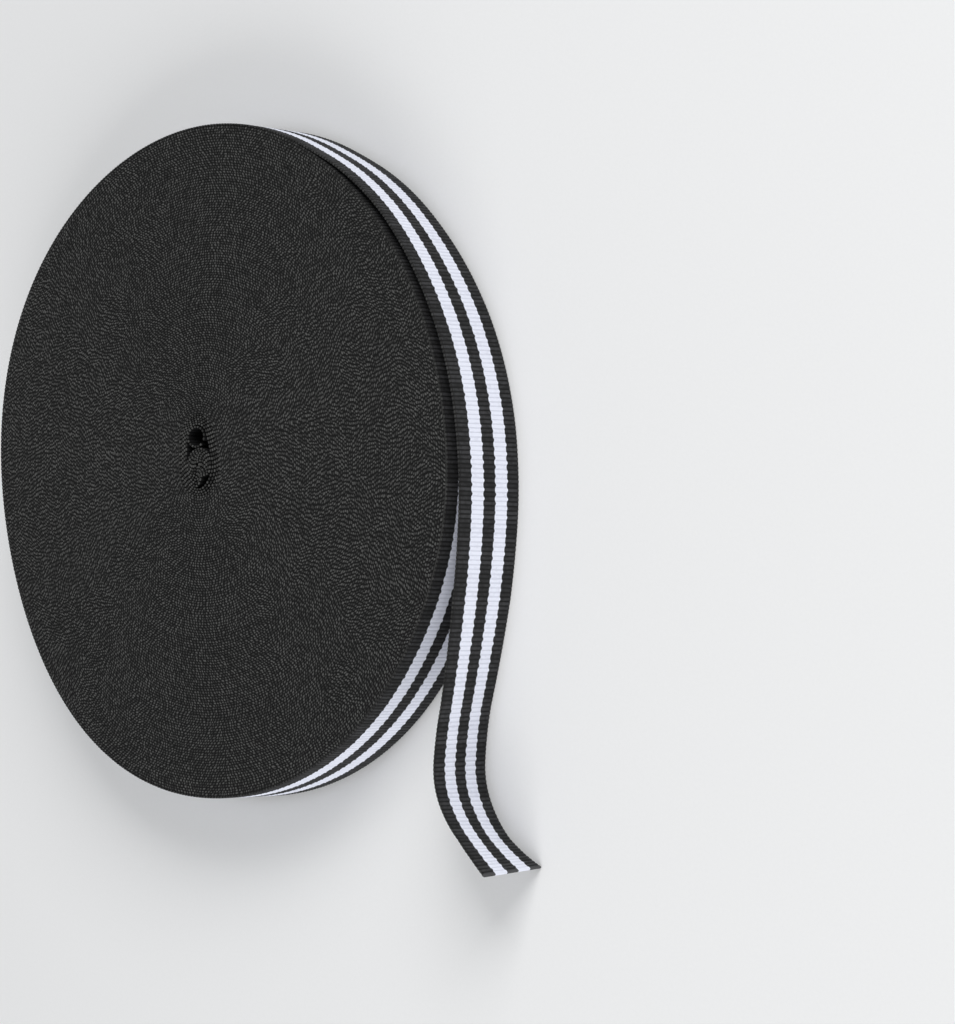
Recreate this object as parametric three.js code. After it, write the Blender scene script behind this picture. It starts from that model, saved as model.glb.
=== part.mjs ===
// A roll of striped grosgrain ribbon, wound without a core. It lies flat on its side, and its loose
// end stands on its own edge beside it. Millimetres, +Z up. The origin is on the surface that the
// roll lies on, at the middle of the roll. Angles are measured from +X towards +Y.

import * as THREE from "three";

// The ribbon: a one inch grosgrain. The loose end's solid is a little thicker than the cloth.
const RIBBON_WIDTH = 25.4;
const SHEET_THICKNESS = 1.0;
const CLEARANCE = 0.3;

// The roll: its mean radius, and the direction in which the last turn begins to lift off it.
const ROLL_RADIUS = 115.8;
const LIFT_ANGLE = THREE.MathUtils.degToRad(-22);

// A soft roll is never quite round. Each row adds a wave with that many lobes round the rim.
const OUT_OF_ROUND = [
  { lobes: 2, cosine: 0.0, sine: 1.98 },
  { lobes: 3, cosine: -0.26, sine: 0.42 },
  { lobes: 4, cosine: -0.17, sine: -0.64 },
  { lobes: 5, cosine: 0.25, sine: 0.03 },
];

// The eye, where the first turn was folded over itself: an opening that goes right through.
const EYE = { x: 8.4, y: 6.4, alongX: 3.0, alongY: 3.8 };

// The loose end in arcs, from where it lifts off to the cut. Each row has its run along the ribbon,
// the degrees that it turns (positive to the left, away from the roll) and how far its upper edge
// leans away from the roll at the end of that run. The lower edge leans back as far.
const LOOSE_ARCS = [
  { run: 14, turn: -3.0, lean: 0.0 },
  { run: 36, turn: -18.5, lean: 0.0 },
  { run: 40, turn: -17.0, lean: -0.8 },
  { run: 40, turn: -19.0, lean: -1.1 },
  { run: 30, turn: -11.5, lean: -0.9 },
  { run: 25, turn: -5.5, lean: -0.5 },
  { run: 35, turn: -4.5, lean: 1.1 },
  { run: 18, turn: 9.5, lean: 0.9 },
  { run: 14, turn: 31.0, lean: 0.8 },
  { run: 14, turn: 21.0, lean: 0.9 },
  { run: 8, turn: 5.0, lean: 0.1 },
  { run: 8, turn: 4.0, lean: -1.0 },
];

// Fineness of the solids.
const RIM_STEPS = 300;
const EYE_STEPS = 28;
const SHEET_STEP_LENGTH = 2.5;

const BLACK_RIBBON = { color: 0x1d1c1d, roughness: 0.88, metalness: 0.0 };

// Mean radius of the outermost turn at an angle: the circle and its waves.
function meanRadius(angle) {
  return OUT_OF_ROUND.reduce(
    (radius, wave) =>
      radius + wave.cosine * Math.cos(wave.lobes * angle) + wave.sine * Math.sin(wave.lobes * angle),
    ROLL_RADIUS,
  );
}

// Radius of the wound solid, going back along the ribbon from the lift-off. The radius falls by one
// step in a full turn, and the loose end takes that step.
function woundRadius(turned) {
  const step = SHEET_THICKNESS + CLEARANCE;
  return meanRadius(LIFT_ANGLE + turned) + step * (0.5 - turned / (2 * Math.PI));
}

function polar(radius, angle) {
  return new THREE.Vector2(radius * Math.cos(angle), radius * Math.sin(angle));
}

// Outline of the wound roll: one turn of the spiral, closed by the small step at the lift-off.
function rollOutline() {
  const points = [];
  for (let i = 0; i <= RIM_STEPS; i += 1) {
    const turned = (2 * Math.PI * i) / RIM_STEPS;
    points.push(polar(woundRadius(turned), LIFT_ANGLE + turned));
  }
  return points;
}

function eyeOutline() {
  const points = [];
  for (let i = 0; i < EYE_STEPS; i += 1) {
    const angle = (-2 * Math.PI * i) / EYE_STEPS;
    points.push(new THREE.Vector2(EYE.x + EYE.alongX * Math.cos(angle), EYE.y + EYE.alongY * Math.sin(angle)));
  }
  return points;
}

function woundRollGeometry() {
  const shape = new THREE.Shape(rollOutline());
  shape.holes.push(new THREE.Path(eyeOutline()));
  return new THREE.ExtrudeGeometry(shape, { depth: RIBBON_WIDTH, bevelEnabled: false });
}

// Direction of the wound surface at the lift-off, clockwise, found from two points close together.
function liftHeading() {
  const span = 0.001;
  const before = polar(meanRadius(LIFT_ANGLE + span), LIFT_ANGLE + span);
  const after = polar(meanRadius(LIFT_ANGLE - span), LIFT_ANGLE - span);
  return Math.atan2(after.y - before.y, after.x - before.x);
}

// Sections across the loose end: the middle of its thickness, its heading and its lean.
function looseSections() {
  let heading = liftHeading();
  const start = polar(meanRadius(LIFT_ANGLE) + CLEARANCE / 2, LIFT_ANGLE);
  let x = start.x + CLEARANCE * Math.cos(heading);
  let y = start.y + CLEARANCE * Math.sin(heading);
  let lean = 0;
  const sections = [{ x, y, heading, lean }];
  for (const arc of LOOSE_ARCS) {
    const steps = Math.ceil(arc.run / SHEET_STEP_LENGTH);
    const turn = THREE.MathUtils.degToRad(arc.turn) / steps;
    const leanFrom = lean;
    for (let i = 1; i <= steps; i += 1) {
      const along = heading + turn / 2;
      x += (arc.run / steps) * Math.cos(along);
      y += (arc.run / steps) * Math.sin(along);
      heading += turn;
      lean = THREE.MathUtils.lerp(leanFrom, arc.lean, i / steps);
      sections.push({ x, y, heading, lean });
    }
  }
  return sections;
}

// The four corners of one section, in order round it: up the roll's side and down the outer side.
function sectionCorners({ x, y, heading, lean }) {
  const outX = -Math.sin(heading);
  const outY = Math.cos(heading);
  const half = SHEET_THICKNESS / 2;
  const corner = (out, z) => [x + outX * out, y + outY * out, z];
  return [
    corner(-half - lean, 0),
    corner(-half + lean, RIBBON_WIDTH),
    corner(half + lean, RIBBON_WIDTH),
    corner(half - lean, 0),
  ];
}

// A closed sheet through the sections: four sides between each two sections, and a cap at each end.
function sheetGeometry(sections) {
  const corners = 4;
  const positions = sections.flatMap(sectionCorners).flat();
  const index = [];
  for (let s = 0; s + 1 < sections.length; s += 1) {
    for (let c = 0; c < corners; c += 1) {
      const a = s * corners + c;
      const b = s * corners + ((c + 1) % corners);
      index.push(a, a + corners, b, b, a + corners, b + corners);
    }
  }
  const last = (sections.length - 1) * corners;
  index.push(0, 1, 2, 0, 2, 3);
  index.push(last, last + 2, last + 1, last, last + 3, last + 2);
  const geometry = new THREE.BufferGeometry();
  geometry.setAttribute("position", new THREE.Float32BufferAttribute(positions, 3));
  geometry.setIndex(index);
  geometry.computeVertexNormals();
  return geometry;
}

function ribbonMesh(name, geometry) {
  const mesh = new THREE.Mesh(geometry, new THREE.MeshStandardMaterial(BLACK_RIBBON));
  mesh.name = name;
  return mesh;
}

const group = new THREE.Group();
group.add(ribbonMesh("wound_roll", woundRollGeometry()));
group.add(ribbonMesh("loose_end", sheetGeometry(looseSections())));

export default group;
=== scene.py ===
"""Roll of striped grosgrain ribbon, lying on its side with its loose end standing on edge beside it.

The roll is one ribbon, wound without a core. Its turns are worked out as one long spiral from the
lift-off, where the loose end leaves the roll, inwards to the folded eye. Metres, +Z up, in the frame
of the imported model.
"""

import logging
import math
from dataclasses import dataclass
from enum import Enum
from functools import reduce
from typing import Sequence

import bpy
import numpy as np
from mathutils import Matrix, Vector


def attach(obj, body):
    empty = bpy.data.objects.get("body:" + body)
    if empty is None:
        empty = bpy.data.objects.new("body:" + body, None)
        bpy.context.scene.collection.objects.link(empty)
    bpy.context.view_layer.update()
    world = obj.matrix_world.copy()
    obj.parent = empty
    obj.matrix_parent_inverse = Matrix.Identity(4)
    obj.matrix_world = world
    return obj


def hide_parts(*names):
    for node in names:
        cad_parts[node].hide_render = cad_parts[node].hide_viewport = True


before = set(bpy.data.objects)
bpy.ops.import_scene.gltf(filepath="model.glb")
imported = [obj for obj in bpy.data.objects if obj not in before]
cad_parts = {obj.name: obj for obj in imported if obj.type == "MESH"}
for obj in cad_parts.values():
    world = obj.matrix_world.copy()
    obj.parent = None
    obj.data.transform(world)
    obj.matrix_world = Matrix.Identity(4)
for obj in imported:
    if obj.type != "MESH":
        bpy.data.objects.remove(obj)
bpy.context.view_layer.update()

log = logging.getLogger("ribbon_roll")

MM = 0.001
TURN = 2 * math.pi
UV_NAME = "weave"
BODY = "root"

# Places of a Mix node's sockets: its two colours, and the colour that comes out.
MIX_FIRST_COLOUR = 6
MIX_SECOND_COLOUR = 7
MIX_RESULT = 2

# Edges that bend by more than this stay sharp.
SHARP_ANGLE = math.radians(62)

# The four sines of a ripple: how fast each runs, and how far a seed shifts it.
RIPPLE_SPEEDS = np.array([1.0, 1.618, 2.747, 4.236])
RIPPLE_STARTS = np.array([1.0, 2.3, 3.1, 4.7])
RIPPLE_GAIN = 1.4


# Numbers on curves

def smooth(x: np.ndarray, low: float, high: float) -> np.ndarray:
    """An even rise from 0 at low to 1 at high, flat at both ends: 3t^2 - 2t^3.

    Args:
        x: the places to read it at.
        low: where the rise begins.
        high: where it ends.

    Returns:
        The height of the rise at each place.
    """
    t = np.clip((x - low) / (high - low), 0.0, 1.0)
    return t * t * (3 - 2 * t)


def ripple(t: np.ndarray, seed: float) -> np.ndarray:
    """An irregular wave: four sines whose speeds have no common beat, added up.

    Args:
        t: the places along the wave, in radians of its slowest sine.
        seed: shifts the wave along itself, so that two ripples differ.

    Returns:
        The wave's height, within about -1 and 1.
    """
    waves = np.sin(t[..., None] * RIPPLE_SPEEDS + seed * RIPPLE_STARTS)
    return waves.mean(-1) * RIPPLE_GAIN


def run_along(points: np.ndarray) -> np.ndarray:
    """Distance along a line at each of its points: the sum of the steps so far."""
    steps = np.linalg.norm(np.diff(points, axis=0), axis=1)
    return np.concatenate([[0.0], np.cumsum(steps)])


# Sizes of the ribbon and of the winding

@dataclass(frozen=True)
class Ribbon:
    """The cut ribbon: a one inch grosgrain with rounded ribs across it."""

    width: float = 25.4 * MM
    rib_pitch: float = 1.46 * MM
    crest_thickness: float = 0.86 * MM
    valley_thickness: float = 0.55 * MM
    selvedge: float = 0.5 * MM
    selvedge_notch: float = 0.14 * MM

    def half_thickness(self, ribs: np.ndarray) -> np.ndarray:
        """Half the thickness: from the valley's to the crest's, as |sin| of half a turn for each rib."""
        swell = np.abs(np.sin(np.pi * ribs))
        return (self.valley_thickness + (self.crest_thickness - self.valley_thickness) * swell) / 2


@dataclass(frozen=True)
class Wave:
    """One wave round the rim, in metres: cosine * cos(lobes * angle) + sine * sin(lobes * angle)."""

    lobes: int
    cosine: float
    sine: float

    def height(self, angle: np.ndarray) -> np.ndarray:
        """The wave's height at each angle."""
        return self.cosine * np.cos(self.lobes * angle) + self.sine * np.sin(self.lobes * angle)


@dataclass(frozen=True)
class Dent:
    """A rounded hollow in a turn: the way it faces, half its width in radians, and its depth."""

    towards: float
    half_width: float
    depth: float

    def inward(self, angle: np.ndarray) -> np.ndarray:
        """Depth at each angle: the square of a cosine, full in the middle and nothing outside.

        Args:
            angle: the directions to read it at, in radians.

        Returns:
            The depth at each, in metres.
        """
        off = (angle - self.towards + math.pi) % TURN - math.pi
        share = np.clip(off / self.half_width, -1, 1)
        return self.depth * np.cos(share * math.pi / 2) ** 2


@dataclass(frozen=True)
class Slack:
    """A turn near the coil that lies a little further in for a stretch, so that a slit opens.

    The turns are counted outwards from the coil, and the first one outside it is number 1.
    """

    turns_out: int
    dent: Dent


@dataclass(frozen=True)
class Arc:
    """A stretch of the loose end: its run, the degrees it turns away from the roll, and its lean.

    The lean is how far the upper edge stands away from the roll at the end of the run. The lower
    edge goes as far the other way.
    """

    run: float
    turn: float
    lean: float


@dataclass(frozen=True)
class Winding:
    """The spiral that the ribbon follows on the roll.

    A place on it is given by `turned`, the radians back along the ribbon from the lift-off, and by
    its reach, which is the radius that the turn would have if the roll were round all the way in.
    """

    radius: float = 115.8 * MM
    lift_angle: float = math.radians(-22)
    pitch: float = 0.92 * MM
    cloth: float = 0.85 * MM
    waves: tuple[Wave, ...] = (
        Wave(2, 0.0, 1.98 * MM),
        Wave(3, -0.26 * MM, 0.42 * MM),
        Wave(4, -0.17 * MM, -0.64 * MM),
        Wave(5, 0.25 * MM, 0.03 * MM),
    )
    wave_fade: float = 2.0
    wave_limit: float = 1.05
    unevenness: float = 0.07 * MM
    uneven_speed: float = 0.31
    uneven_seed: float = 2.0
    even_coils: float = 3.0
    rim_slack: Dent = Dent(math.radians(-98), math.radians(28), -1.2 * MM)
    slack_turns: float = 6.0

    # The eye: the inner turns run round a small coil and round an open loop beside it. Facing is
    # the cosine of the angle to the loop, from which a turn is carried out, and then in full.
    coil: tuple[float, float] = (-2.2 * MM, 4.3 * MM)
    loop: tuple[float, float] = (7.2 * MM, 5.9 * MM)
    loop_drop: float = 1.55 * MM
    facing: tuple[float, float] = (-0.02, 0.42)
    coil_reach: float = 7.3 * MM
    eye_fade: float = 60 * MM
    fade_limit: float = 1.15
    coil_start: float = math.radians(90)

    def middle_reach(self, turned: np.ndarray) -> np.ndarray:
        """Reach of the middle of the cloth: it falls by one pitch in each turn back."""
        return self.radius + self.pitch * (0.5 - turned / TURN) - self.cloth / 2

    def loosening(self, turned: np.ndarray, reach: np.ndarray) -> np.ndarray:
        """How much each turn strays from an even spacing.

        From the second turn on it is a ripple, which dies away near the coil. The outermost turns
        also bulge out a little under the loose end, the last one most.

        Args:
            turned: radians back along the ribbon from the lift-off.
            reach: reach of each place, in metres.

        Returns:
            What each place adds to its reach, in metres.
        """
        near_coil = np.clip(reach / self.coil_reach / self.even_coils, 0, 1)
        started = smooth(turned, TURN, 2 * TURN) * near_coil
        share = np.clip(1 - turned / TURN / self.slack_turns, 0, 1)
        bulge = -self.rim_slack.inward(self.lift_angle + turned) * share
        wave = ripple(turned * self.uneven_speed, self.uneven_seed)
        return self.unevenness * started * wave + bulge

    def place(self, reach: np.ndarray, angle: np.ndarray, loop_share: float = 1.0) -> np.ndarray:
        """Plan of the winding.

        The point lies at its reach from the roll's middle along the angle. The rim's waves are added
        in full at the rim and die away inwards. Towards the eye the middle moves to the small coil,
        and the side that faces the open loop is carried out round it.

        Args:
            reach: reach of each point, in metres.
            angle: direction of each point, in radians.
            loop_share: 1 where the turn goes round coil and loop, 0 where only round the coil.

        Returns:
            One row of x and y for each point, in metres.
        """
        out = np.stack([np.cos(angle), np.sin(angle)], -1)
        coil = np.array(self.coil)
        across = np.array(self.loop) - coil
        gap = float(np.linalg.norm(across))
        axis = across / gap
        fade = np.exp(-(reach - self.coil_reach) / self.eye_fade) * (self.radius - reach)
        fade = np.clip(fade / (self.radius - self.coil_reach), 0.0, self.fade_limit)[..., None]
        facing = smooth(out @ axis, *self.facing) * loop_share
        waves = sum(wave.height(angle) for wave in self.waves)
        share = np.clip(reach / self.radius, 0, self.wave_limit)
        radial = reach + waves * share**self.wave_fade
        round_loop = facing[..., None] * (gap * axis - self.loop_drop * out)
        return radial[..., None] * out + fade * (coil + round_loop)


@dataclass(frozen=True)
class Course:
    """A line that a ribbon follows, seen from above, with a row for each step along it."""

    points: np.ndarray
    lean: np.ndarray
    ribs: np.ndarray

    @staticmethod
    def along(
        points: np.ndarray, lean: np.ndarray, pitch: float, rows_per_rib: int, ends_at: float = 0.0
    ) -> "Course":
        """Divides a finely drawn line into equal steps, a whole number of ribs in all.

        Args:
            points: the line, one row of x and y for each point, drawn finely.
            lean: the lean at each point.
            pitch: the ribs' usual distance, changed a little so that a whole number fits.
            rows_per_rib: how many steps go to each rib.
            ends_at: the rib number at the line's last point.

        Returns:
            The course, with its ribs counted up to that number.
        """
        length = run_along(points)
        ribs = round(length[-1] / pitch)
        rows = ribs * rows_per_rib + 1
        at = np.linspace(0.0, length[-1], rows)
        x, y, tilt = (np.interp(at, length, values) for values in (points[:, 0], points[:, 1], lean))
        return Course(np.stack([x, y], -1), tilt, ends_at + np.linspace(-ribs, 0, rows))

    def length(self) -> float:
        """Length of the line."""
        return float(np.linalg.norm(np.diff(self.points, axis=0), axis=1).sum())

    def outward(self) -> np.ndarray:
        """Direction away from the roll at each row: the heading turned a quarter to the left.

        Returns:
            One row of x and y for each row of the course.
        """
        heading = np.gradient(self.points, axis=0)
        heading /= np.linalg.norm(heading, axis=1, keepdims=True)
        return np.stack([-heading[:, 1], heading[:, 0]], -1)


# Meshes

def make_object(
    name: str, places: np.ndarray, faces: Sequence[Sequence[int]], uv: np.ndarray
) -> bpy.types.Object:
    """Puts arrays into a mesh object at the origin, smooth except over sharp edges.

    Args:
        name: the piece's name.
        places: one row of x, y and z for each vertex.
        faces: the vertices of each face, in order.
        uv: one row for each face corner, in the order of the faces.

    Returns:
        The new object, linked to the scene.
    """
    mesh = bpy.data.meshes.new(name)
    mesh.from_pydata(places, [], faces)
    layer = mesh.uv_layers.new(name=UV_NAME)
    layer.uv.foreach_set("vector", uv.astype(np.float32).ravel())
    mesh.shade_smooth()
    mesh.set_sharp_from_angle(angle=SHARP_ANGLE)
    mesh.validate()
    piece = bpy.data.objects.new(name, mesh)
    bpy.context.scene.collection.objects.link(piece)
    return piece


@dataclass(frozen=True)
class RibbonSheet:
    """A length of ribbon as a closed ribbed sheet, carried along a course."""

    ribbon: Ribbon
    outer_columns: int
    inner_columns: int
    edge_steps: int = 4
    edge_power: int = 24

    def section(self) -> tuple[np.ndarray, np.ndarray]:
        """The outline of the cut: two flat sides and two half-round selvedges.

        Returns:
            For each point of the outline, its place across the ribbon in metres from the middle,
            and its side, from 1 on the outer face to -1 on the inner one.
        """
        flat = self.ribbon.width / 2 - self.ribbon.selvedge
        round_off = np.linspace(0, np.pi, self.edge_steps + 1)
        up = np.linspace(-flat, flat, self.outer_columns + 1)
        down = np.linspace(flat, -flat, self.inner_columns + 1)
        top = flat + self.ribbon.selvedge * np.sin(round_off[1:-1])
        across = np.concatenate([up, top, down, -top])
        edge_side = np.cos(round_off[1:-1])
        side = np.concatenate([np.ones_like(up), edge_side, -np.ones_like(down), -edge_side])
        return across, side

    def places(self, course: Course) -> np.ndarray:
        """Each outline point on each row: across the ribbon is up, and its side is off the course.

        Args:
            course: the line to follow.

        Returns:
            An array of rows by outline points by x, y and z.
        """
        across, side = self.section()
        half = self.ribbon.half_thickness(course.ribs)
        width = self.ribbon.width
        at_edge = np.abs(2 * across / width) ** self.edge_power
        drawn_in = 1 - np.abs(np.sin(np.pi * course.ribs))
        height = across - np.sign(across) * self.ribbon.selvedge_notch * drawn_in[:, None] * at_edge
        off = half[:, None] * side + course.lean[:, None] * 2 * across / width
        plan = course.points[:, None] + off[..., None] * course.outward()[:, None]
        return np.concatenate([plan, (height + width / 2)[..., None]], -1)

    def build(self, name: str, course: Course) -> bpy.types.Object:
        """Joins the rows with four-sided faces, and closes the two ends.

        Args:
            name: the piece's name.
            course: the line to follow.

        Returns:
            The piece. Its map holds the rib number, and the place across in ribbon widths.
        """
        across, _ = self.section()
        grid = self.places(course)
        rows, ring = grid.shape[:2]
        row, column = np.meshgrid(np.arange(rows - 1), np.arange(ring), indexing="ij")
        after = (column + 1) % ring
        corner_rows = np.stack([row, row, row + 1, row + 1], -1).reshape(-1, 4)
        corner_columns = np.stack([column, after, after, column], -1).reshape(-1, 4)
        quads = corner_rows * ring + corner_columns
        ends = [list(range(ring - 1, -1, -1)), [(rows - 1) * ring + i for i in range(ring)]]
        used_rows = np.concatenate([corner_rows.ravel(), np.zeros(ring, int), np.full(ring, rows - 1)])
        used_columns = np.concatenate([corner_columns.ravel(), ends[0], np.arange(ring)])
        uv = np.stack([course.ribs[used_rows], across[used_columns] / self.ribbon.width], -1)
        return make_object(name, grid.reshape(-1, 3), quads.tolist() + ends, uv)


@dataclass(frozen=True)
class WoundBand:
    """Many turns of the winding as one closed ring, with the turns' edges raised on both faces.

    Each turn's edge is a rounded ridge between two grooves, and the ridge follows the spiral, so
    the groove inside one turn is the groove outside the next. Each row of the ridge is a share of
    the way across the turn, and how far the ridge lies below its top there, in groove depths.
    """

    ribbon: Ribbon
    winding: Winding
    first_turn: int
    turns: int
    steps_per_turn: int
    groove: float = 0.15 * MM
    stagger: float = 0.10 * MM
    stagger_speed: float = 0.43
    stagger_seed: float = 5.0
    turn_shift: float = 0.5
    drift_speed: float = 0.02
    drift_seed: float = 1.0
    wall_share: float = 0.5
    ridge: tuple[tuple[float, float], ...] = ((0.2, 0.36), (0.5, 0.0), (0.8, 0.36))

    def turned(self) -> np.ndarray:
        """Radians back from the lift-off at each step of the ridge."""
        steps = np.arange(self.turns * self.steps_per_turn + 1)
        return TURN * (self.first_turn + steps / self.steps_per_turn)

    def grooves(self) -> np.ndarray:
        """Plan of the groove line, which runs half a pitch inside each turn and begins a turn earlier.

        Returns:
            One row of x and y for each step.
        """
        steps = (self.turns + 1) * self.steps_per_turn + 1
        turned = TURN * (self.first_turn - 1 + np.arange(steps) / self.steps_per_turn)
        reach = self.winding.middle_reach(turned) - self.winding.pitch / 2
        reach = reach + self.winding.loosening(turned, reach)
        return self.winding.place(reach, self.winding.lift_angle + turned)

    def rise(self) -> np.ndarray:
        """How far each turn stands up from the surface: a ripple along the ribbon, never below 0."""
        wave = ripple(self.turned() * self.stagger_speed, self.stagger_seed)
        return self.stagger * (0.5 + 0.5 * wave).clip(0, 1)

    def lines(self) -> tuple[np.ndarray, np.ndarray]:
        """The ridge's lines along the spiral: shares of the way from the outer groove to the inner one.

        Returns:
            The plan of each line, and how far each lies below the turn's full height.
        """
        groove = self.grooves()
        steps = self.turns * self.steps_per_turn + 1
        outer, inner = groove[:steps], groove[self.steps_per_turn :]
        shares = np.array([share for share, _ in self.ridge])[:, None, None]
        drops = np.array([drop for _, drop in self.ridge])[:, None] * self.groove
        return outer + shares * (inner - outer), np.broadcast_to(drops, (len(self.ridge), steps))

    def build(self, name: str) -> bpy.types.Object:
        """Lays the ridges of both faces on one spiral grid, and joins them by a wall inside and outside.

        Args:
            name: the piece's name.

        Returns:
            The piece. Its map holds the rib number, and the place from the outer groove to the inner.
        """
        around = self.steps_per_turn
        steps = self.turns * around
        groove = self.grooves()
        plan, drop = self.lines()
        rise = self.rise()
        width = self.ribbon.width
        count, ridges = len(groove), len(self.ridge)
        groove_high = np.full((count, 1), width - self.groove)
        upper = [np.hstack([groove, groove_high])]
        lower = [np.hstack([groove, width - groove_high])]
        for line in range(ridges):
            upper.append(np.hstack([plan[line], (width + rise - drop[line])[:, None]]))
            lower.append(np.hstack([plan[line], (rise + drop[line])[:, None]]))
        places = np.concatenate(upper + lower)
        side = count + ridges * (steps + 1)

        def index(line: int, step: np.ndarray) -> np.ndarray:
            """Vertex of a line at a step. Line 0 is the outer groove and the last is the inner one.

            Args:
                line: the line's number.
                step: the steps along it.

            Returns:
                The number of the upper face's vertex at each step.
            """
            if line in (0, ridges + 1):
                return step + (around if line else 0)
            return count + (line - 1) * (steps + 1) + step

        step = np.arange(steps)
        strips = [
            np.stack([index(i, step), index(i, step + 1), index(i + 1, step + 1), index(i + 1, step)], -1)
            for i in range(ridges + 1)
        ]
        top = np.concatenate(strips)
        wall_steps = np.arange(around)
        outside = np.stack([wall_steps, wall_steps + side, wall_steps + side + 1, wall_steps + 1], -1)
        inside = outside[:, ::-1] + steps
        quads = np.concatenate([top, top[:, ::-1] + side, outside, inside])
        first, last = ([index(i, np.array(s)).item() for i in range(ridges + 2)] for s in (0, steps))
        caps = [first + [i + side for i in reversed(first)], [i + side for i in last] + last[::-1]]

        ribs = self.rib_numbers(plan[ridges // 2])
        strip_ribs = np.stack([ribs[:-1], ribs[1:], ribs[1:], ribs[:-1]], -1)
        shares = [0.0, *(share for share, _ in self.ridge), 1.0]
        uv_top = np.concatenate([
            np.stack([strip_ribs, np.broadcast_to([a, a, b, b], strip_ribs.shape)], -1)
            for a, b in zip(shares, shares[1:])
        ])
        wall_corners = outside.size + inside.size + sum(map(len, caps))
        plain = np.full((wall_corners, 2), self.wall_share)
        uv = np.concatenate([uv_top.reshape(-1, 2), uv_top[:, ::-1].reshape(-1, 2), plain])
        return make_object(name, places, quads.tolist() + caps, uv)

    def rib_numbers(self, crest: np.ndarray) -> np.ndarray:
        """Rib number at each step: half a rib more on each turn, so that neighbours lie between.

        Args:
            crest: plan of the ridge's crest line.

        Returns:
            The rib number at each step, counted back from this band's first turn with a slow drift.
        """
        turned = self.turned()
        shift = self.turn_shift * turned / TURN
        drift = ripple(turned * self.drift_speed, self.drift_seed)
        return shift - run_along(crest) / self.ribbon.rib_pitch + drift


# Finishes

@dataclass(frozen=True)
class Rise:
    """A smooth rise of a value: where it begins and ends, and its result before and after."""

    low: float
    high: float
    start: float = 0.0
    end: float = 1.0


@dataclass(frozen=True)
class Gloss:
    """How a surface shines, the same all over it."""

    roughness: float
    specular: float = 0.5
    sheen: float = 0.0
    sheen_roughness: float = 0.5


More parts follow.
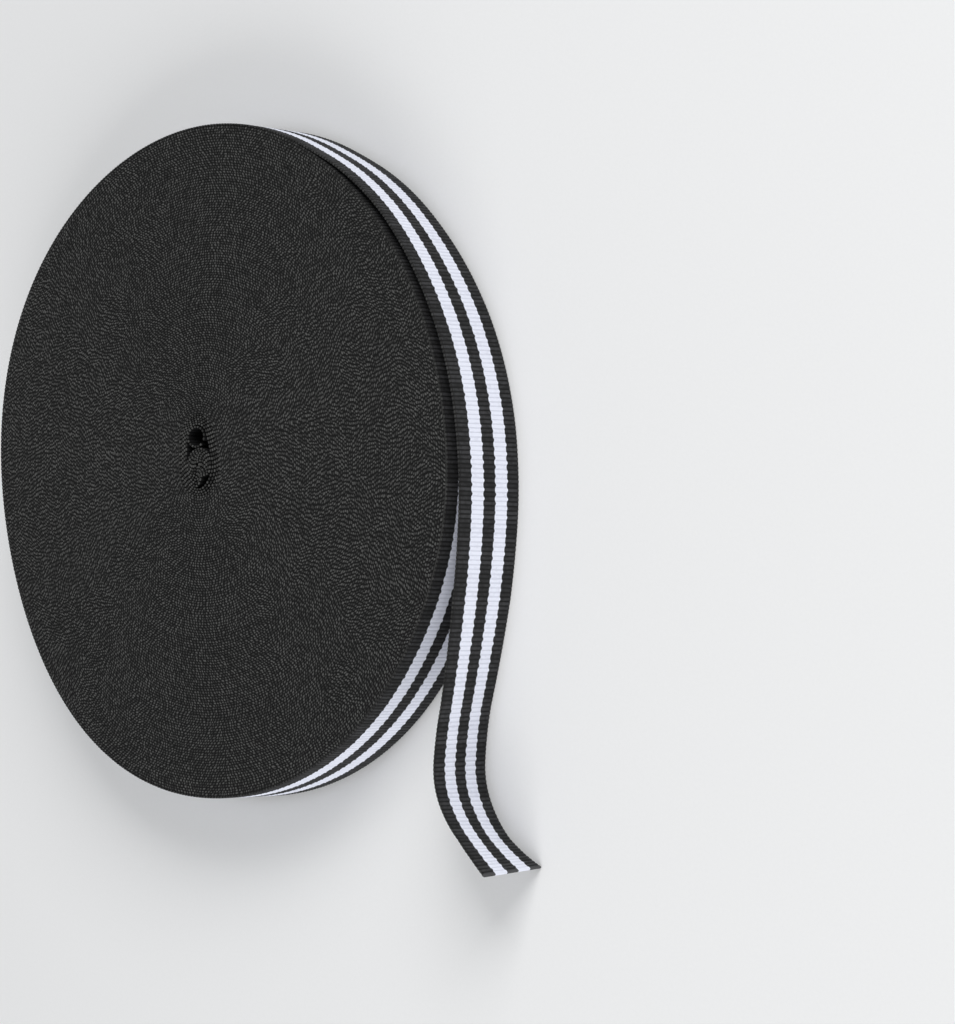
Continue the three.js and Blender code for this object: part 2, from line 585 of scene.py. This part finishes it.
class Graph:
    """Small helper that makes a material, adds shader nodes to it and links them."""

    def __init__(self, name: str) -> None:
        """Makes a material with an empty node tree.

        Args:
            name: the material's name.
        """
        self.material = bpy.data.materials.new(name)
        self.material.use_nodes = True
        self.tree = self.material.node_tree
        self.tree.nodes.clear()

    def node(self, kind: str, **settings: object) -> bpy.types.Node:
        """Adds a node and sets its properties.

        Args:
            kind: the node's type.
            settings: its properties by name.

        Returns:
            The node.
        """
        made = self.tree.nodes.new(kind)
        for name, value in settings.items():
            setattr(made, name, value)
        return made

    def plug(self, socket: bpy.types.NodeSocket, value: object) -> None:
        """Links a socket to another, or sets its number or colour.

        Args:
            socket: the input to fill.
            value: an output socket, a number, or a colour's three parts.
        """
        if isinstance(value, bpy.types.NodeSocket):
            self.tree.links.new(value, socket)
        else:
            socket.default_value = (*value, 1) if isinstance(value, tuple) else value

    def math(self, operation: str, *values: object) -> bpy.types.NodeSocket:
        """A Math node with up to three inputs.

        Args:
            operation: what the node works out.
            values: its inputs, in order.

        Returns:
            Its result.
        """
        made = self.node("ShaderNodeMath", operation=operation)
        for socket, value in zip(made.inputs, values):
            self.plug(socket, value)
        return made.outputs[0]

    def ramp(self, value: object, rise: Rise) -> bpy.types.NodeSocket:
        """A smooth rise as a value grows.

        Args:
            value: the value to read.
            rise: where the rise lies, and its results.

        Returns:
            The result.
        """
        made = self.node("ShaderNodeMapRange", interpolation_type="SMOOTHSTEP")
        names = ("Value", "From Min", "From Max", "To Min", "To Max")
        for name, given in zip(names, (value, rise.low, rise.high, rise.start, rise.end)):
            self.plug(made.inputs[name], given)
        return made.outputs["Result"]

    def product(self, *parts: tuple[object, Rise]) -> bpy.types.NodeSocket:
        """The rises of several values, each given with its own, multiplied together."""
        rises = [self.ramp(value, rise) for value, rise in parts]
        return reduce(lambda made, rise: self.math("MULTIPLY", made, rise), rises)

    def rib_wave(self, ribs: object) -> bpy.types.NodeSocket:
        """A sine that is 0 between two ribs, 1 on one rib and -1 on the next."""
        return self.math("SINE", self.math("MULTIPLY", ribs, math.pi))

    def mix(self, share: object, first: object, second: object) -> bpy.types.NodeSocket:
        """A blend of two colours.

        Args:
            share: 0 for the first colour and 1 for the second.
            first: a colour.
            second: another.

        Returns:
            The blend.
        """
        made = self.node("ShaderNodeMix", data_type="RGBA")
        self.plug(made.inputs["Factor"], share)
        self.plug(made.inputs[MIX_FIRST_COLOUR], first)
        self.plug(made.inputs[MIX_SECOND_COLOUR], second)
        return made.outputs[MIX_RESULT]

    def noise(self, vector: object, scale: float = 1.0, detail: float = 2.0) -> bpy.types.NodeSocket:
        """The value of a noise texture.

        Args:
            vector: the coordinates.
            scale: how fine the noise is.
            detail: how many finer layers it has.

        Returns:
            A value around 0.5.
        """
        made = self.node("ShaderNodeTexNoise")
        self.plug(made.inputs["Vector"], vector)
        made.inputs["Scale"].default_value = scale
        made.inputs["Detail"].default_value = detail
        return made.outputs[0]

    def wandering(self, value: object, every: float, by: float) -> bpy.types.NodeSocket:
        """The value, moved to and fro by a noise.

        Args:
            value: the value to move.
            every: the length of one swing, in the value's own units.
            by: how far it can be moved either way.

        Returns:
            The moved value.
        """
        made = self.node("ShaderNodeTexNoise", noise_dimensions="1D")
        self.plug(made.inputs["W"], self.math("DIVIDE", value, every))
        made.inputs["Scale"].default_value = 1.0
        made.inputs["Detail"].default_value = 1.0
        return self.math("MULTIPLY_ADD", self.math("SUBTRACT", made.outputs[0], 0.5), 2 * by, value)

    def random(self, number: object) -> tuple[bpy.types.NodeSocket, ...]:
        """Three random values between 0 and 1 that belong to a whole number.

        Args:
            number: the whole number.

        Returns:
            The three values.
        """
        made = self.node("ShaderNodeTexWhiteNoise", noise_dimensions="1D")
        self.plug(made.inputs["W"], number)
        parts = self.node("ShaderNodeSeparateColor")
        self.plug(parts.inputs[0], made.outputs["Color"])
        return tuple(parts.outputs)

    def stretched(self, x: object, y: object, scales: tuple[float, float]) -> bpy.types.NodeSocket:
        """A vector of two map coordinates, each multiplied by its own scale.

        Args:
            x: the first coordinate.
            y: the second coordinate.
            scales: the scale of each.

        Returns:
            The vector.
        """
        made = self.node("ShaderNodeCombineXYZ")
        for socket, value, scale in zip(made.inputs, (x, y), scales):
            self.plug(socket, self.math("MULTIPLY", value, scale))
        return made.outputs[0]

    def weave_map(self) -> tuple[bpy.types.NodeSocket, bpy.types.NodeSocket]:
        """The two coordinates of the piece's own map.

        Returns:
            The rib number and the place across.
        """
        where = self.node("ShaderNodeUVMap", uv_map=UV_NAME)
        parts = self.node("ShaderNodeSeparateXYZ")
        self.plug(parts.inputs[0], where.outputs[0])
        return parts.outputs[0], parts.outputs[1]

    def surface(self, colour: object, gloss: Gloss, height: object) -> None:
        """Ends the material in a Principled shader with a bump.

        Args:
            colour: the base colour.
            gloss: how the surface shines.
            height: the height of the bump, in metres.
        """
        bump = self.node("ShaderNodeBump")
        bump.inputs["Strength"].default_value = 1.0
        bump.inputs["Distance"].default_value = 1.0
        self.plug(bump.inputs["Height"], height)
        shader = self.node("ShaderNodeBsdfPrincipled")
        self.plug(shader.inputs["Base Color"], colour)
        self.plug(shader.inputs["Normal"], bump.outputs[0])
        shader.inputs["Roughness"].default_value = gloss.roughness
        shader.inputs["Specular IOR Level"].default_value = gloss.specular
        shader.inputs["Sheen Weight"].default_value = gloss.sheen
        shader.inputs["Sheen Roughness"].default_value = gloss.sheen_roughness
        output = self.node("ShaderNodeOutputMaterial")
        self.plug(output.inputs["Surface"], shader.outputs[0])


class Side(Enum):
    """The ways in which the ribbon shows."""

    WOVEN = "woven face"
    # The eye's turns and loop, in a near-black finish without stripes: painted shade.
    EYE_SHADE = "eye in painted shade"
    EDGE = "wound edges"


@dataclass(frozen=True)
class RibbonFinish:
    """Polyester grosgrain: near black, with two white stripes along it and a seared cut end."""

    ribbon: Ribbon
    black: tuple[float, float, float] = (0.034, 0.034, 0.036)
    # Painted shade: the black in the rib valleys and between the tufts.
    valley_shade_black: tuple[float, float, float] = (0.003, 0.003, 0.003)
    # Painted highlight: the lit colour of the rib ends' tufts on the wound edges and on the eye's
    # selvedges.
    tuft_highlight_black: tuple[float, float, float] = (0.093, 0.093, 0.090)
    # Painted shade: the colour in the grooves between the wound turns and between the tufts.
    groove_shade_black: tuple[float, float, float] = (0.0055, 0.0055, 0.0055)
    # Painted highlight: the lit colour of the rib ends on the selvedges of the last turn and the loose
    # end.
    selvedge_highlight_black: tuple[float, float, float] = (0.050, 0.050, 0.049)
    # Painted shade: the near-black of the eye's inner turns and loop, which stands for the shade in the
    # hole.
    eye_shade_black: tuple[float, float, float] = (0.010, 0.010, 0.011)
    white: tuple[float, float, float] = (0.74, 0.76, 0.85)
    # Painted shade: the white in the rib valleys.
    valley_shade_white: tuple[float, float, float] = (0.61, 0.625, 0.71)
    seared_black: tuple[float, float, float] = (0.060, 0.060, 0.062)
    stripe_inner: float = 0.098
    stripe_outer: float = 0.298
    selvedge_from: float = 0.479
    selvedge_to: float = 0.496
    selvedge_blur: float = 0.002
    scallop: float = 0.0075
    scallop_shares: tuple[float, float] = (0.5, 1.5)
    stripe_blur: float = 0.0016
    cut_at: float = 193.0
    seared_ribs: float = 0.65
    seared_full: float = 0.3

    # Scales of the noises, per rib and per width of the ribbon or of the turn. The slant's is per metre.
    thread_scales: tuple[float, float] = (1.6, 150.0)
    thread_detail: float = 3.0
    patch_scales: tuple[float, float] = (0.9, 14.0)
    fibre_scales: tuple[float, float] = (2.3, 2.0)
    slant_scale: float = 55.0
    wander_every: float = 5.0
    wander_by: float = 0.9
    thread_height: float = 0.05 * MM
    tuft_height: float = 0.10 * MM

    # How light each side is over a rib, a thread, a patch, and from one rib to the next. The rise over a
    # rib is painted shade in the valleys, lighter on the crests.
    core_crest: Rise = Rise(0.1, 1.0)
    core_threads: Rise = Rise(0.2, 0.75, 0.3, 1.0)
    selvedge_crest: Rise = Rise(0.35, 0.95)
    selvedge_tones: Rise = Rise(0.0, 1.0, 0.3, 0.9)
    selvedge_least: float = 0.1
    woven_crest: Rise = Rise(0.15, 1.0)
    woven_threads: Rise = Rise(0.2, 0.75, 0.5, 1.2)
    woven_tones: Rise = Rise(0.0, 1.0, 0.5, 1.35)
    woven_patches: Rise = Rise(0.3, 0.7, 0.55, 1.3)
    white_crest: Rise = Rise(0.0, 0.5)
    edge_crest: Rise = Rise(0.45, 1.0)
    edge_tones: Rise = Rise(0.0, 1.0, 0.35, 1.3)
    edge_fibres: Rise = Rise(0.25, 0.75, 0.45, 1.4)

    # The tufts on the wound edges: their slant, their place and width in the turn, and how they end,
    # falling off into painted shade towards the grooves.
    tuft_slants: Rise = Rise(0.4, 0.6, -0.4, 0.4)
    tuft_places: Rise = Rise(0.0, 1.0, 0.4, 0.6)
    tuft_widths: Rise = Rise(0.0, 1.0, 0.8, 1.2)
    tuft_fall: Rise = Rise(0.14, 0.46, 1.0, 0.12)

    core_gloss: Gloss = Gloss(0.9, 0.1)
    woven_gloss: Gloss = Gloss(0.8, 0.25, 0.04, 0.4)
    edge_gloss: Gloss = Gloss(0.8, 0.15, 0.02, 0.4)

    def material(self, side: Side) -> bpy.types.Material:
        """The finish of one side of the ribbon."""
        return {Side.WOVEN: self.woven, Side.EYE_SHADE: self.core, Side.EDGE: self.edge}[side]()

    def core(self) -> bpy.types.Material:
        """The eye's inner turns and loop in painted shade: near-black with no white stripe, standing for
        the shade in the hole; ribs, hardly any light thread.

        Returns:
            The material.
        """
        graph = Graph("grosgrain_eye_shade")
        ribs, across = graph.weave_map()
        crest = graph.math("ABSOLUTE", graph.rib_wave(ribs))
        tone, _, _ = graph.random(graph.math("FLOOR", ribs))
        threads = graph.noise(graph.stretched(ribs, across, self.thread_scales), detail=self.thread_detail)
        # lit: painted shade in the rib valleys, times the threads' own tone.
        lit = graph.product((crest, self.core_crest), (threads, self.core_threads))
        colour = graph.mix(lit, self.valley_shade_black, self.eye_shade_black)
        from_middle = graph.math("ABSOLUTE", across)
        colour = self.with_selvedge(graph, colour, from_middle, crest, tone, self.tuft_highlight_black)
        graph.surface(colour, self.core_gloss, graph.math("MULTIPLY", threads, self.thread_height))
        return graph.material

    def with_selvedge(
        self, graph: Graph, colour: object, from_middle: object, crest: object, tone: object,
        tuft: tuple[float, float, float],
    ) -> bpy.types.NodeSocket:
        """Lays the tufts of the selvedges over a colour: the ends of the ribs in painted highlight, with
        painted shade on both sides.

        Args:
            graph: the material's nodes.
            colour: the colour of the ribbon's faces.
            from_middle: the distance from the ribbon's middle, in ribbon widths.
            crest: 0 between two ribs and 1 on top of a rib.
            tone: a random value for each rib.
            tuft: the tufts' lit colour, a painted highlight.

        Returns:
            The colour with both selvedges.
        """
        starts, blur = self.selvedge_from, self.selvedge_blur
        rounded = (from_middle, Rise(starts, self.selvedge_to, self.selvedge_least))
        # lit: painted highlight on the rib ends, brighter towards the rounded rim, times each rib's own
        # tone.
        lit = graph.product((crest, self.selvedge_crest), rounded, (tone, self.selvedge_tones))
        tufts = graph.mix(lit, self.valley_shade_black, tuft)
        on_edge = graph.ramp(from_middle, Rise(starts - blur, starts + blur))
        return graph.mix(on_edge, colour, tufts)

    def woven(self) -> bpy.types.Material:
        """Ribs across the ribbon, scalloped stripes along it, and threads over the ribs.

        A stripe's edge moves out on one rib and in on the next, because the threads along the
        ribbon pass over every other rib. Each rib has a brightness and a scallop of its own. The
        valleys between the ribs are darkened with painted shade.

        Returns:
            The material.
        """
        graph = Graph("grosgrain_woven")
        ribs, across = graph.weave_map()
        wave = graph.rib_wave(ribs)
        crest = graph.math("ABSOLUTE", wave)
        tone, reach, _ = graph.random(graph.math("FLOOR", ribs))
        from_middle = graph.math("ABSOLUTE", across)
        least, most = (share * self.scallop for share in self.scallop_shares)
        shift = graph.math("MULTIPLY", wave, graph.ramp(reach, Rise(0.0, 1.0, least, most)))
        inner = graph.math("ADD", from_middle, shift)
        outer = graph.math("SUBTRACT", from_middle, shift)
        blur = self.stripe_blur
        starts = graph.ramp(inner, Rise(self.stripe_inner - blur, self.stripe_inner + blur))
        stops = graph.ramp(outer, Rise(self.stripe_outer - blur, self.stripe_outer + blur, 1.0, 0.0))
        stripe = graph.math("MULTIPLY", starts, stops)

        threads = graph.noise(graph.stretched(ribs, across, self.thread_scales), detail=self.thread_detail)
        patches = graph.noise(graph.stretched(ribs, across, self.patch_scales))
        # lit: painted shade in the rib valleys, times the threads', ribs' and patches' own tone.
        lit = graph.product(
            (crest, self.woven_crest), (threads, self.woven_threads),
            (tone, self.woven_tones), (patches, self.woven_patches),
        )
        black = graph.mix(lit, self.valley_shade_black, self.black)
        white = graph.mix(graph.ramp(lit, self.white_crest), self.valley_shade_white, self.white)
        colour = graph.mix(stripe, black, white)
        colour = self.with_selvedge(graph, colour, from_middle, crest, tone, self.selvedge_highlight_black)
        seared = graph.ramp(ribs, Rise(self.cut_at - self.seared_ribs, self.cut_at - self.seared_full))
        grey = graph.mix(stripe, self.seared_black, self.white)
        colour = graph.mix(seared, colour, grey)
        graph.surface(colour, self.woven_gloss, graph.math("MULTIPLY", threads, self.thread_height))
        return graph.material

    def edge(self) -> bpy.types.Material:
        """The ends of the ribs along each wound turn: small tufts in painted highlight, with painted shade
        between them and towards the grooves.

        The ribs wander a little to and fro along the ribbon, and they slant across the cloth, now
        one way and now the other. Each tuft has a brightness, a width and a place across of its own.

        Returns:
            The material.
        """
        graph = Graph("grosgrain_edges")
        ribs, share = graph.weave_map()
        where = graph.node("ShaderNodeTexCoord").outputs["Object"]
        slant = graph.ramp(graph.noise(where, self.slant_scale, 1.0), self.tuft_slants)
        ribs = graph.wandering(ribs, self.wander_every, self.wander_by)
        ribs = graph.math("MULTIPLY_ADD", graph.math("SUBTRACT", share, 0.5), slant, ribs)
        tone, place, width = graph.random(graph.math("FLOOR", ribs))
        crest = graph.math("ABSOLUTE", graph.rib_wave(ribs))
        middle = graph.ramp(place, self.tuft_places)
        off = graph.math("ABSOLUTE", graph.math("SUBTRACT", share, middle))
        off = graph.math("DIVIDE", off, graph.ramp(width, self.tuft_widths))
        fibre = graph.noise(graph.stretched(ribs, share, self.fibre_scales))
        # lit: painted highlight on each tuft, falling into painted shade between the ribs and towards the
        # grooves, times the tufts' own tone.
        lit = graph.product(
            (crest, self.edge_crest), (off, self.tuft_fall),
            (tone, self.edge_tones), (fibre, self.edge_fibres),
        )
        colour = graph.mix(lit, self.groove_shade_black, self.tuft_highlight_black)
        graph.surface(colour, self.edge_gloss, graph.math("MULTIPLY", lit, self.tuft_height))
        return graph.material


# Sub-assemblies

@dataclass
class Roll:
    """The wound part: the ring and the turns of the eye, the bands round them, and the last turn.

    Each band is its first turn, how many turns it has, and the steps in one of them. The columns of
    a stretch are those of its outer and its inner face, and its rows are counted for each rib.
    """

    ribbon: Ribbon
    winding: Winding
    finish: RibbonFinish
    eye_from_turn: int = 114
    coil_turns: float = 6.9
    coil_left_in_middle: float = 0.09
    coil_middle: tuple[float, float] = (1.3 * MM, 1.0 * MM)
    bands: tuple[tuple[int, int, int], ...] = ((1, 50, 216), (51, 36, 168), (87, 27, 144))
    dents: tuple[Dent, ...] = (
        Dent(math.radians(213), math.radians(52), 3.6 * MM),
        Dent(math.radians(266), math.radians(50), 0.8 * MM),
    )
    slacks: tuple[Slack, ...] = (
        Slack(1, Dent(math.radians(238), math.radians(62), 0.85 * MM)),
        Slack(2, Dent(math.radians(238), math.radians(62), 0.40 * MM)),
    )
    hole: tuple[float, float] = (8.35 * MM, 6.35 * MM)
    hole_radii: tuple[float, float] = (3.43 * MM, 4.23 * MM)
    hole_closes: float = math.radians(238)
    hole_span: tuple[float, float] = (math.radians(8), math.radians(352))
    coil_blend: float = math.radians(35)

    # Points on the finely drawn line of each stretch, and how fine its mesh is.
    rim_points: int = 2881
    rim_rows: int = 8
    rim_columns: tuple[int, int] = (12, 2)
    eye_points: int = 16001
    eye_rows: int = 4
    eye_columns: tuple[int, int] = (6, 6)
    ring_points: int = 400
    ring_rows: int = 6
    ring_columns: tuple[int, int] = (12, 12)

    def turn_course(self) -> Course:
        """The last turn, from under the loose end all the way round to the lift-off.

        Returns:
            The course.
        """
        turned = np.linspace(TURN, 0, self.rim_points)
        reach = self.winding.middle_reach(turned)
        reach = reach + self.winding.loosening(turned, reach)
        plan = self.winding.place(reach, self.winding.lift_angle + turned)
        return Course.along(plan, np.zeros(len(plan)), self.ribbon.rib_pitch, self.rim_rows)

    def eye_course(self) -> Course:
        """The innermost turns: a dented coil, then turns round the coil and the open loop.

        The coil's turns are copies of its outermost one, drawn towards a point in its middle by a
        share that falls evenly from one turn to the next.

        Returns:
            The course, from the middle of the coil out to the first of the wound bands.
        """
        winding = self.winding
        first = TURN * self.eye_from_turn
        to_coil = first + (winding.coil_start - winding.lift_angle - first) % TURN
        turns_left = (winding.middle_reach(to_coil) - winding.coil_reach) / winding.pitch
        to_coil += TURN * math.ceil(turns_left)
        coil_span = TURN * self.coil_turns
        turned = np.linspace(to_coil + coil_span, first, self.eye_points)
        angle = winding.lift_angle + turned
        reach = winding.middle_reach(turned)
        reach = reach + winding.loosening(turned, reach)
        turns_out = np.ceil((to_coil - turned) / TURN)
        for slack in self.slacks:
            reach = reach - (turns_out == slack.turns_out) * slack.dent.inward(angle)
        round_both = winding.place(reach, angle)

        coil_reach = winding.middle_reach(to_coil) - sum(dent.inward(angle) for dent in self.dents)
        outermost = winding.place(coil_reach, angle, 0.0)
        middle = np.array(winding.coil) + self.coil_middle
        share = 1 - (1 - self.coil_left_in_middle) * (turned - to_coil) / coil_span
        in_coil = smooth(turned, to_coil - self.coil_blend, to_coil + self.coil_blend)[:, None]
        plan = (1 - in_coil) * round_both + in_coil * (middle + share[:, None] * (outermost - middle))
        return Course.along(plan, np.zeros(len(plan)), self.ribbon.rib_pitch, self.eye_rows)

    def loop_course(self) -> Course:
        """The ring of ribbon that keeps the loop open: an oval with a small gap.

        Returns:
            The course.
        """
        angle = self.hole_closes - np.linspace(*self.hole_span, self.ring_points)
        around = np.stack([np.cos(angle), np.sin(angle)], -1)
        plan = np.array(self.hole) + np.array(self.hole_radii) * around
        return Course.along(plan, np.zeros(len(plan)), self.ribbon.rib_pitch, self.ring_rows)

    def build(self) -> list[bpy.types.Object]:
        """Makes the roll's pieces, dresses them and places them in the model.

        Returns:
            The pieces.
        """
        woven = self.finish.material(Side.WOVEN)
        edge = self.finish.material(Side.EDGE)
        # The eye's turns and loop take the finish in painted shade.
        core = self.finish.material(Side.EYE_SHADE)
        pieces = []
        for number, (first_turn, turns, steps) in enumerate(self.bands, 1):
            band = WoundBand(self.ribbon, self.winding, first_turn, turns, steps)
            piece = band.build(f"wound_turns_{number}")
            piece.data.materials.append(edge)
            pieces.append(piece)
        courses = {
            "eye_turns": (self.eye_course(), self.eye_columns, "folded"),
            "eye_loop": (self.loop_course(), self.ring_columns, "folded"),
            "last_turn": (self.turn_course(), self.rim_columns, "stretched"),
        }
        for name, (course, columns, held) in courses.items():
            piece = RibbonSheet(self.ribbon, *columns).build(name, course)
            piece.data.materials.append(woven if name == "last_turn" else core)
            course.length()
            log.info("%s: %.3f m of ribbon", name, course.length())
            pieces.append(piece)
        for piece in pieces:
            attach(piece, BODY)
            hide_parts("wound_roll")
        return pieces


@dataclass
class LooseEnd:
    """The end of the ribbon that has left the roll, standing on its edge beside it."""

    ribbon: Ribbon
    winding: Winding
    finish: RibbonFinish
    arcs: tuple[Arc, ...] = (
        Arc(14 * MM, -3.0, 0.0 * MM),
        Arc(36 * MM, -18.5, 0.0 * MM),
        Arc(40 * MM, -17.0, -0.8 * MM),
        Arc(40 * MM, -19.0, -1.1 * MM),
        Arc(30 * MM, -11.5, -0.9 * MM),
        Arc(25 * MM, -5.5, -0.5 * MM),
        Arc(35 * MM, -4.5, 1.1 * MM),
        Arc(18 * MM, 9.5, 0.9 * MM),
        Arc(14 * MM, 31.0, 0.8 * MM),
        Arc(14 * MM, 21.0, 0.9 * MM),
        Arc(8 * MM, 5.0, 0.1 * MM),
        Arc(8 * MM, 4.0, -1.0 * MM),
    )
    steps_per_arc: int = 240
    rows_per_rib: int = 8
    columns: tuple[int, int] = (14, 14)
    near: float = 0.001

    @property
    def length(self) -> float:
        """The loose end's length along the ribbon."""
        return sum(arc.run for arc in self.arcs)

    def course(self) -> Course:
        """The arcs one after another from the lift-off, each bending evenly.

        The heading at any place is the lift-off's plus all that the ribbon has turned so far, and
        the line is the sum of short steps along it. The lift-off's heading is found from two places
        very near to it, one on either side.

        Returns:
            The course of the loose end.
        """
        turned = np.array([self.near, 0.0, -self.near])
        start = self.winding.place(self.winding.middle_reach(turned), self.winding.lift_angle + turned)
        first = math.atan2(*(start[2] - start[0])[::-1])
        n = self.steps_per_arc
        bends = np.repeat([math.radians(arc.turn) / n for arc in self.arcs], n)
        steps = np.repeat([arc.run / n for arc in self.arcs], n)
        heading = first + np.cumsum(bends) - bends / 2
        moves = steps[:, None] * np.stack([np.cos(heading), np.sin(heading)], -1)
        plan = start[1] + np.concatenate([np.zeros((1, 2)), np.cumsum(moves, axis=0)])
        run_ends = np.concatenate([[0.0], np.cumsum([arc.run for arc in self.arcs])])
        leans = [0.0, *(arc.lean for arc in self.arcs)]
        lean = np.interp(np.concatenate([[0.0], np.cumsum(steps)]), run_ends, leans)
        return Course.along(plan, lean, self.ribbon.rib_pitch, self.rows_per_rib, self.finish.cut_at)

    def build(self) -> bpy.types.Object:
        """Returns:
            The piece.
        """
        piece = RibbonSheet(self.ribbon, *self.columns).build("loose_ribbon", self.course())
        piece.data.materials.append(self.finish.material(Side.WOVEN))
        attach(piece, BODY)
        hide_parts("loose_end")
        return piece


@dataclass(frozen=True)
class Light:
    """A square soft light: its name, where it stands, its side in metres and its power in watts."""

    name: str
    place: tuple[float, float, float]
    side: float
    watts: float


@dataclass
class Studio:
    """The camera, the pale floor and the soft lights."""

    eye: tuple[float, float, float] = (-0.036277, -0.865272, 0.775170)
    image_right: tuple[float, float, float] = (0.017982, -0.714326, -0.699582)
    image_up: tuple[float, float, float] = (0.999679, 0.000356, 0.025333)
    lens_mm: float = 116.923
    sensor_mm: float = 36.0
    floor_size: float = 6.0
    floor_colour: tuple[float, float, float] = (0.86, 0.86, 0.86)
    floor_gloss: Gloss = Gloss(0.9)
    grain_scale: float = 900.0
    grain_tone: float = 0.97
    grain_height: float = 0.02 * MM
    soft_lights: tuple[Light, ...] = (
        Light("key", (1.5, -1.1, 1.2), 1.2, 30),
        Light("fill", (-1.7, -0.8, 0.8), 1.4, 25),
    )
    sky_colour: tuple[float, float, float] = (0.96, 0.98, 1.0)
    sky_strength: float = 0.43

    def camera(self) -> None:
        """Sets up the camera from the directions of the image's right and up sides."""
        up = Vector(self.image_up).normalized()
        right = Vector(self.image_right)
        right = (right - up * right.dot(up)).normalized()
        back = right.cross(up)
        data = bpy.data.cameras.new("camera")
        data.sensor_width = self.sensor_mm
        data.lens = self.lens_mm
        camera = bpy.data.objects.new("camera", data)
        turn = Matrix((right, up, back)).transposed()
        camera.matrix_world = Matrix.Translation(self.eye) @ turn.to_4x4()
        bpy.context.scene.collection.objects.link(camera)
        bpy.context.scene.camera = camera

    def floor(self) -> None:
        """A large pale sheet of paper under the roll."""
        half = self.floor_size / 2
        mesh = bpy.data.meshes.new("floor")
        corners = [(-half, -half, 0), (half, -half, 0), (half, half, 0), (-half, half, 0)]
        mesh.from_pydata(corners, [], [(0, 1, 2, 3)])
        floor = bpy.data.objects.new("floor", mesh)
        bpy.context.scene.collection.objects.link(floor)
        graph = Graph("pale_paper")
        where = graph.node("ShaderNodeTexCoord")
        grain = graph.noise(where.outputs["Object"], self.grain_scale)
        darker = tuple(self.grain_tone * part for part in self.floor_colour)
        tone = graph.mix(grain, darker, self.floor_colour)
        graph.surface(tone, self.floor_gloss, graph.math("MULTIPLY", grain, self.grain_height))
        mesh.materials.append(graph.material)

    def lights(self) -> None:
        """Soft lights that face the roll's middle, and an even sky.

        The key stands on the side where the turns lie tight, the fill on the cut end's side.
        """
        for light in self.soft_lights:
            data = bpy.data.lights.new(light.name, "AREA")
            data.size = light.side
            data.energy = light.watts
            lamp = bpy.data.objects.new(light.name, data)
            lamp.location = light.place
            lamp.rotation_euler = (-Vector(light.place)).to_track_quat("-Z", "Y").to_euler()
            bpy.context.scene.collection.objects.link(lamp)
        world = bpy.data.worlds.new("sky")
        world.use_nodes = True
        background = world.node_tree.nodes["Background"]
        background.inputs["Color"].default_value = (*self.sky_colour, 1)
        background.inputs["Strength"].default_value = self.sky_strength
        bpy.context.scene.world = world
        bpy.context.scene.view_settings.view_transform = "Standard"


def main() -> None:
    """Builds the studio and the ribbon's pieces in order."""
    logging.basicConfig(level=logging.INFO, format="%(name)s: %(message)s")
    studio = Studio()
    studio.camera()
    ribbon = Ribbon()
    winding = Winding()
    finish = RibbonFinish(ribbon)
    for piece in Roll(ribbon, winding, finish).build():
        log.info("%s: %d faces", piece.name, len(piece.data.polygons))
    loose = LooseEnd(ribbon, winding, finish)
    piece = loose.build()
    log.info("%s: %d faces, %.3f m long", piece.name, len(piece.data.polygons), loose.length)
    studio.floor()
    studio.lights()


if __name__ == "__main__":
    main()
